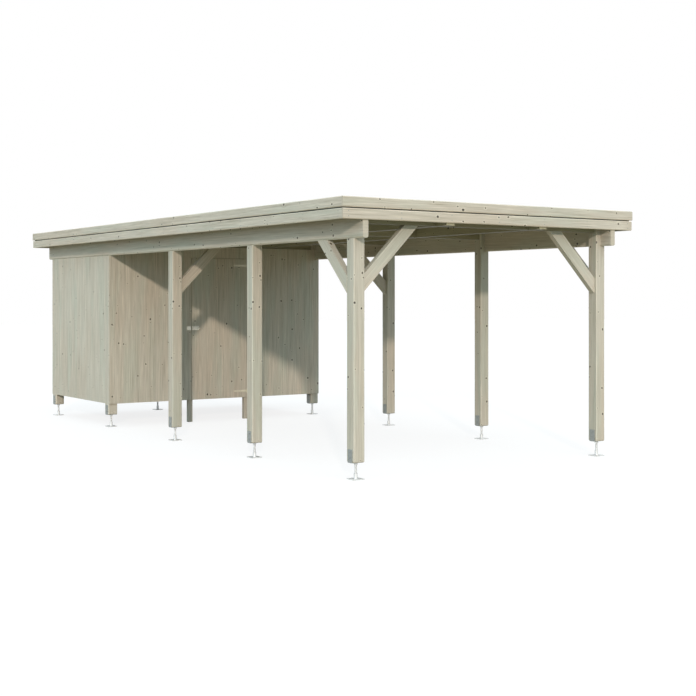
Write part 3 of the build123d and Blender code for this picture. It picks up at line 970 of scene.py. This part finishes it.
class CARPORT_OT_roof(bpy.types.Operator):
    """Board the roof and cover it with felt"""

    bl_idname = "carport.roof"
    bl_label = "Roof"

    def execute(self, context):
        sizes = context.scene.carport_sizes
        low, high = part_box("roof_deck")
        values = board_values(high.z - low.z, FLAT_ALONG_X, timber("deck_spruce", **DECK_LOOK))
        points = deck_points(sizes.deck_pitch)
        finish = ("carport", "frame_timber")
        grow("roof_deck_boards", board_tree, points, values, *finish, ["roof_deck"])

        felt = mineral_felt("slate_felt")
        dress(felt, "roof_felt")
        finish = ("carport", "roof_felt")
        values = board_values(FELT_THICKNESS, FLAT_ALONG_X, felt)
        values["Groove"] = LAP_EASE
        grow("felt_laps", board_tree, lap_points(sizes.felt_width), values, *finish)
        for name, axis, turn in (("end", 1, ON_EDGE_ALONG_X), ("side", 0, ON_EDGE_ALONG_Y)):
            values["Turn"] = turn
            grow(f"deck_{name}_felt", board_tree, deck_edge_points(axis), values, *finish)
        return {"FINISHED"}


class CARPORT_OT_frame_timber(bpy.types.Operator):
    """Finish the posts, beams, braces and fascias"""

    bl_idname = "carport.frame_timber"
    bl_label = "Frame Timber"

    def execute(self, context):
        for name, look, nodes in FRAME_FINISHES:
            dress(timber(name, **look), *nodes)
        return {"FINISHED"}


# Steel


def feet():
    """Middle of every foot."""
    mesh = NODES["adjusting_rods"].data
    places = []
    for corner in mesh.vertices:
        spot = Vector((corner.co.x, corner.co.y, 0.0))
        for group in places:
            if (group["sum"] / group["count"] - spot).length < SAME_FOOT:
                group["sum"] += spot
                group["count"] += 1
                break
        else:
            places.append({"sum": spot, "count": 1})
    return [group["sum"] / group["count"] for group in places]


class CARPORT_OT_feet(bpy.types.Operator):
    """Thread the rods of the feet and add their nuts and the brackets' bolts"""

    bl_idname = "carport.feet"
    bl_label = "Feet"

    def execute(self, context):
        sizes = context.scene.carport_sizes
        colours = context.scene.carport_colours
        bright = galvanised("zinc_feet", colours.bright_zinc, dull=0.4)
        dull = galvanised("zinc_brackets", colours.zinc)
        dress(dull, "post_brackets")
        dress(bright, "base_plates")
        low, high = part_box("adjusting_rods")
        places = feet()
        front_y = min(place.y for place in places)
        row = [place for place in places if abs(place.y - front_y) < SAME_ROW]
        points = [{"at": (place.x, place.y, low.z)} for place in places]
        values = {
            "Radius": ROD_RADIUS,
            "Length": high.z - low.z,
            "Pitch": sizes.thread_pitch,
            "Nut Radius": high.x - max(place.x for place in row),
            "Nut Height": NUT_HEIGHT,
            "Material": bright,
        }
        finish = ("carport", "galvanised")
        grow("threaded_rods", rod_tree, points, values, *finish, ["adjusting_rods"])

        heads = []
        low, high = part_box("post_brackets")
        out = high.x - max(place.x for place in places)
        for place in places:
            for side, facing in ((-1.0, LEFT), (1.0, RIGHT)):
                for rise in BRACKET_BOLT_RISES:
                    at = (place.x + side * out, place.y, low.z + rise)
                    heads.append({"at": at, "facing": facing})
        values = {
            "Radius": sizes.bolt_radius,
            "Height": BRACKET_BOLT_HEIGHT,
            "Stud": BRACKET_BOLT_STUD,
            "Material": dull,
        }
        grow("bracket_bolts", hexagon_tree, heads, values, *finish)
        return {"FINISHED"}


def head_values(radius, height, sides, material, socket=0.5):
    """Inputs of the screw tree."""
    return {
        "Radius": radius,
        "Height": height,
        "Sides": sides,
        "Socket": socket,
        "Material": material,
    }


class CARPORT_OT_door_fittings(bpy.types.Operator):
    """Finish the hinges and the bolt of the door and add their screws"""

    bl_idname = "carport.door_fittings"
    bl_label = "Door Fittings"

    def execute(self, context):
        colours = context.scene.carport_colours
        zinc = galvanised("zinc_fittings", colours.hinge_zinc, dull=0.55)
        dress(zinc, "door_straps", "hinge_plates")
        polished = galvanised("zinc_bolt", colours.bolt_zinc, dull=0.42)
        dress(polished, "bolt_guide", "door_bolt", "bolt_keeper")

        low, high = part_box("door_straps")
        face = high.y - STRAP_THICKNESS
        axis_x = frame["joints"][0]["pos_m"][0]
        on_door = []
        on_wall = []
        for z in (low.z + STRAP_HALF_HEIGHT, high.z - STRAP_HALF_HEIGHT):
            on_door += [(axis_x - reach, face, z) for reach in STRAP_SCREWS]
            for rise in (-PLATE_SCREW_RISE, PLATE_SCREW_RISE):
                on_wall.append((axis_x + PLATE_SCREW_REACH, face, z + rise))
        low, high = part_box("bolt_guide")
        for x in (low.x + GUIDE_SCREW_INSET, high.x - GUIDE_SCREW_INSET):
            for z in (low.z + FITTING_SCREW_MARGIN, high.z - FITTING_SCREW_MARGIN):
                on_door.append((x, face, z))
        low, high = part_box("bolt_keeper")
        for z in (low.z + FITTING_SCREW_MARGIN, high.z - FITTING_SCREW_MARGIN):
            on_wall.append((low.x + KEEPER_SCREW_INSET, face, z))

        values = head_values(FITTING_SCREW_RADIUS, FITTING_SCREW_HEIGHT, 12, zinc)
        for name, spots, body in (
            ("door_screws", on_door, "door"),
            ("frame_screws", on_wall, "carport"),
        ):
            points = [{"at": spot, "facing": FRONT} for spot in spots]
            grow(name, screw_tree, points, values, body, "galvanised")
        return {"FINISHED"}


def fascia_screws(spacing):
    """Pairs of screws along every lower fascia board."""
    points = []
    for side, axis, facing in (
        ("front", 1, FRONT),
        ("rear", 1, REAR),
        ("left", 0, LEFT),
        ("right", 0, RIGHT),
    ):
        low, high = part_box(f"{side}_lower_fascia")
        start = low[1 - axis] + FASCIA_END_MARGIN
        length = high[1 - axis] - FASCIA_END_MARGIN - start
        count = round(length / spacing)
        for index in range(count + 1):
            for z in (low.z + FASCIA_EDGE_MARGIN, high.z - FASCIA_EDGE_MARGIN):
                at = [0.0, 0.0, z]
                at[axis] = low[axis] if facing[axis] < 0 else high[axis]
                at[1 - axis] = start + index * length / count
                points.append({"at": tuple(at), "facing": facing})
    return points


def nail_rows(node, heights, pitch, facing):
    """Two nails in every board of a wall at each rail."""
    low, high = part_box(node)
    across = abs(facing[1]) > 0.5
    start, stop = (low.x, high.x) if across else (low.y, high.y)
    if across:
        inner = abs(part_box("left_side_beam")[1].x)
        start, stop = max(start, -inner), min(stop, inner)
        flat = low.y if facing[1] < 0 else high.y
    else:
        flat = low.x if facing[0] < 0 else high.x
    count = max(1, round((stop - start) / pitch))
    width = (stop - start) / count
    points = []
    for index in range(count):
        for offset in NAIL_OFFSETS:
            along = start + (index + 0.5 + offset) * width
            for z in heights:
                at = (along, flat, z) if across else (flat, along, z)
                points.append({"at": at, "facing": facing})
    return points


class CARPORT_OT_fastenings(bpy.types.Operator):
    """Nail the boards of the walls and the door and screw on the lower fascias"""

    bl_idname = "carport.fastenings"
    bl_label = "Fastenings"

    def execute(self, context):
        sizes = context.scene.carport_sizes
        zinc = context.scene.carport_colours.zinc
        steel = galvanised("steel_nails", zinc, dull=0.55)
        low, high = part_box("left_store_wall")
        foot = low.z + WALL_NAIL_MARGIN
        side_rows = [foot, (low.z + high.z) / 2, high.z - WALL_NAIL_MARGIN]
        end_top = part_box("rear_store_wall")[1].z
        end_rows = [foot, (low.z + end_top) / 2, end_top - WALL_NAIL_MARGIN]
        low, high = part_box("over_door_panel")
        panel_rows = [low.z + PANEL_NAIL_MARGIN, high.z - WALL_NAIL_MARGIN]
        points = []
        for node, rows, facing in (
            ("left_store_wall", side_rows, LEFT),
            ("right_store_wall", side_rows, RIGHT),
            ("rear_store_wall", end_rows, REAR),
            ("front_wall_left", end_rows, FRONT),
            ("front_wall_right", end_rows, FRONT),
            ("over_door_panel", panel_rows, FRONT),
        ):
            points += nail_rows(node, rows, sizes.wall_pitch, facing)
        values = head_values(sizes.nail_radius, FLUSH_HEAD_HEIGHT, 8, steel, socket=0.6)
        grow("wall_nails", screw_tree, points, values, "carport", "galvanised")

        low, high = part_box("door_ledges")
        middle = (low.z + high.z) / 2
        rows = [low.z + LEDGE_HALF_HEIGHT, middle, high.z - LEDGE_HALF_HEIGHT]
        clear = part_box("door_straps")[0].x - STRAP_NAIL_CLEARANCE
        points = [
            point
            for point in nail_rows("door_leaf", rows, sizes.wall_pitch, FRONT)
            if point["at"][0] < clear or abs(point["at"][2] - middle) < NAIL_ROW_TOLERANCE
        ]
        grow("door_nails", screw_tree, points, values, "door", "galvanised")

        points = fascia_screws(sizes.screw_spacing)
        values = head_values(sizes.screw_radius, FLUSH_HEAD_HEIGHT, 10, steel)
        grow("fascia_screws", screw_tree, points, values, "carport", "galvanised")
        return {"FINISHED"}


# Stage


def seen_share(graph):
    """1 on rays from the camera, straight or by way of a mirror or glass, and 0 on others."""
    path = graph.node("ShaderNodeLightPath")
    rays = [Field(graph, path.outputs[f"Is {kind} Ray"]) for kind in ("Camera", "Glossy")]
    other = Field(graph, path.outputs["Is Transmission Ray"])
    return graph.maths("MINIMUM", rays[0] + rays[1] + other, 1.0)


def lay_floor(scene):
    """A wide plain floor that looks pale and gives the part a soft warm light."""
    mesh = bpy.data.meshes.new("floor")
    ways = ((-1, -1), (1, -1), (1, 1), (-1, 1))
    corners = [(x * FLOOR_REACH, y * FLOOR_REACH, 0.0) for x, y in ways]
    mesh.from_pydata(corners, [], [(0, 1, 2, 3)])
    floor = bpy.data.objects.new("floor", mesh)
    scene.collection.objects.link(floor)
    material, graph = new_material("studio_floor")
    seen = seen_share(graph)
    colour = graph.blend(seen, FLOOR_BOUNCE, opaque(scene.carport_colours.floor))
    matt = graph.first("ShaderNodeBsdfDiffuse", None, {"Color": colour})
    glow = graph.first("ShaderNodeEmission", None, {"Color": WHITE, "Strength": FLOOR_GLOW})
    mixed = graph.first("ShaderNodeMixShader", None, {0: seen * FLOOR_VEIL, 1: matt, 2: glow})
    graph.node("ShaderNodeOutputMaterial", None, {"Surface": mixed})
    mesh.materials.append(material)


def hang_sky(scene, strength):
    """A world that looks white and gives a soft cool light."""
    world = bpy.data.worlds.new("studio")
    world.use_nodes = True
    world.node_tree.nodes.clear()
    scene.world = world
    graph = Graph(world.node_tree)
    soft = graph.first("ShaderNodeBackground", None, {"Color": SKY, "Strength": strength})
    white = graph.first("ShaderNodeBackground", None, {"Color": WHITE, "Strength": 1.0})
    mixed = graph.first("ShaderNodeMixShader", None, {0: seen_share(graph), 1: soft, 2: white})
    graph.node("ShaderNodeOutputWorld", None, {"Surface": mixed})


def add_lamp(scene, name, energy, colour, aim, spread):
    """A far lamp that shines along one direction."""
    data = bpy.data.lights.new(name, "SUN")
    data.energy = energy
    data.color = colour
    data.angle = spread
    lamp = bpy.data.objects.new(name, data)
    lamp.rotation_euler = Vector(aim).to_track_quat("-Z", "Y").to_euler()
    scene.collection.objects.link(lamp)


def add_camera(scene):
    """The camera of the photo."""
    stage = scene.carport_stage
    data = bpy.data.cameras.new("camera")
    data.lens = stage.lens
    data.sensor_width = SENSOR_WIDTH
    data.shift_y = stage.drop
    data.clip_end = CLIP_END
    camera = bpy.data.objects.new("camera", data)
    camera.location = stage.eye
    camera.rotation_euler = (pi / 2, 0.0, -stage.turn)
    scene.collection.objects.link(camera)
    return camera


class CARPORT_OT_stage(bpy.types.Operator):
    """Set up the floor, the lamps and the camera"""

    bl_idname = "carport.stage"
    bl_label = "Stage"

    def execute(self, context):
        scene = context.scene
        stage = scene.carport_stage
        lay_floor(scene)
        hang_sky(scene, stage.ambient)
        for name, setting, colour, aim, spread in LAMPS:
            add_lamp(scene, name, getattr(stage, setting), colour, aim, radians(spread))
        bpy.context.scene.camera = add_camera(scene)
        scene.view_settings.view_transform = "Standard"
        return {"FINISHED"}


OPERATORS = (
    CARPORT_OT_stage,
    CARPORT_OT_frame_timber,
    CARPORT_OT_wall_boards,
    CARPORT_OT_door_boards,
    CARPORT_OT_roof,
    CARPORT_OT_feet,
    CARPORT_OT_door_fittings,
    CARPORT_OT_fastenings,
)


class CARPORT_PT_panel(bpy.types.Panel):
    """Builds the carport piece by piece."""

    bl_idname = "CARPORT_PT_panel"
    bl_label = "Carport"
    bl_space_type = "VIEW_3D"
    bl_region_type = "UI"
    bl_category = "Carport"

    def draw(self, context):
        for name, group in SETTINGS.items():
            box = self.layout.box()
            for field in group.__annotations__:
                box.prop(getattr(context.scene, name), field)
        for operator in OPERATORS:
            self.layout.operator(operator.bl_idname)


CLASSES = (*SETTINGS.values(), *OPERATORS, CARPORT_PT_panel)


def register():
    for made in CLASSES:
        bpy.utils.register_class(made)
    for name, group in SETTINGS.items():
        setattr(bpy.types.Scene, name, PointerProperty(type=group))


def unregister():
    for name in SETTINGS:
        delattr(bpy.types.Scene, name)
    for made in reversed(CLASSES):
        bpy.utils.unregister_class(made)


def main():
    register()
    for operator in OPERATORS:
        group, name = operator.bl_idname.split(".")
        getattr(getattr(bpy.ops, group), name)()


if __name__ == "__main__":
    main()
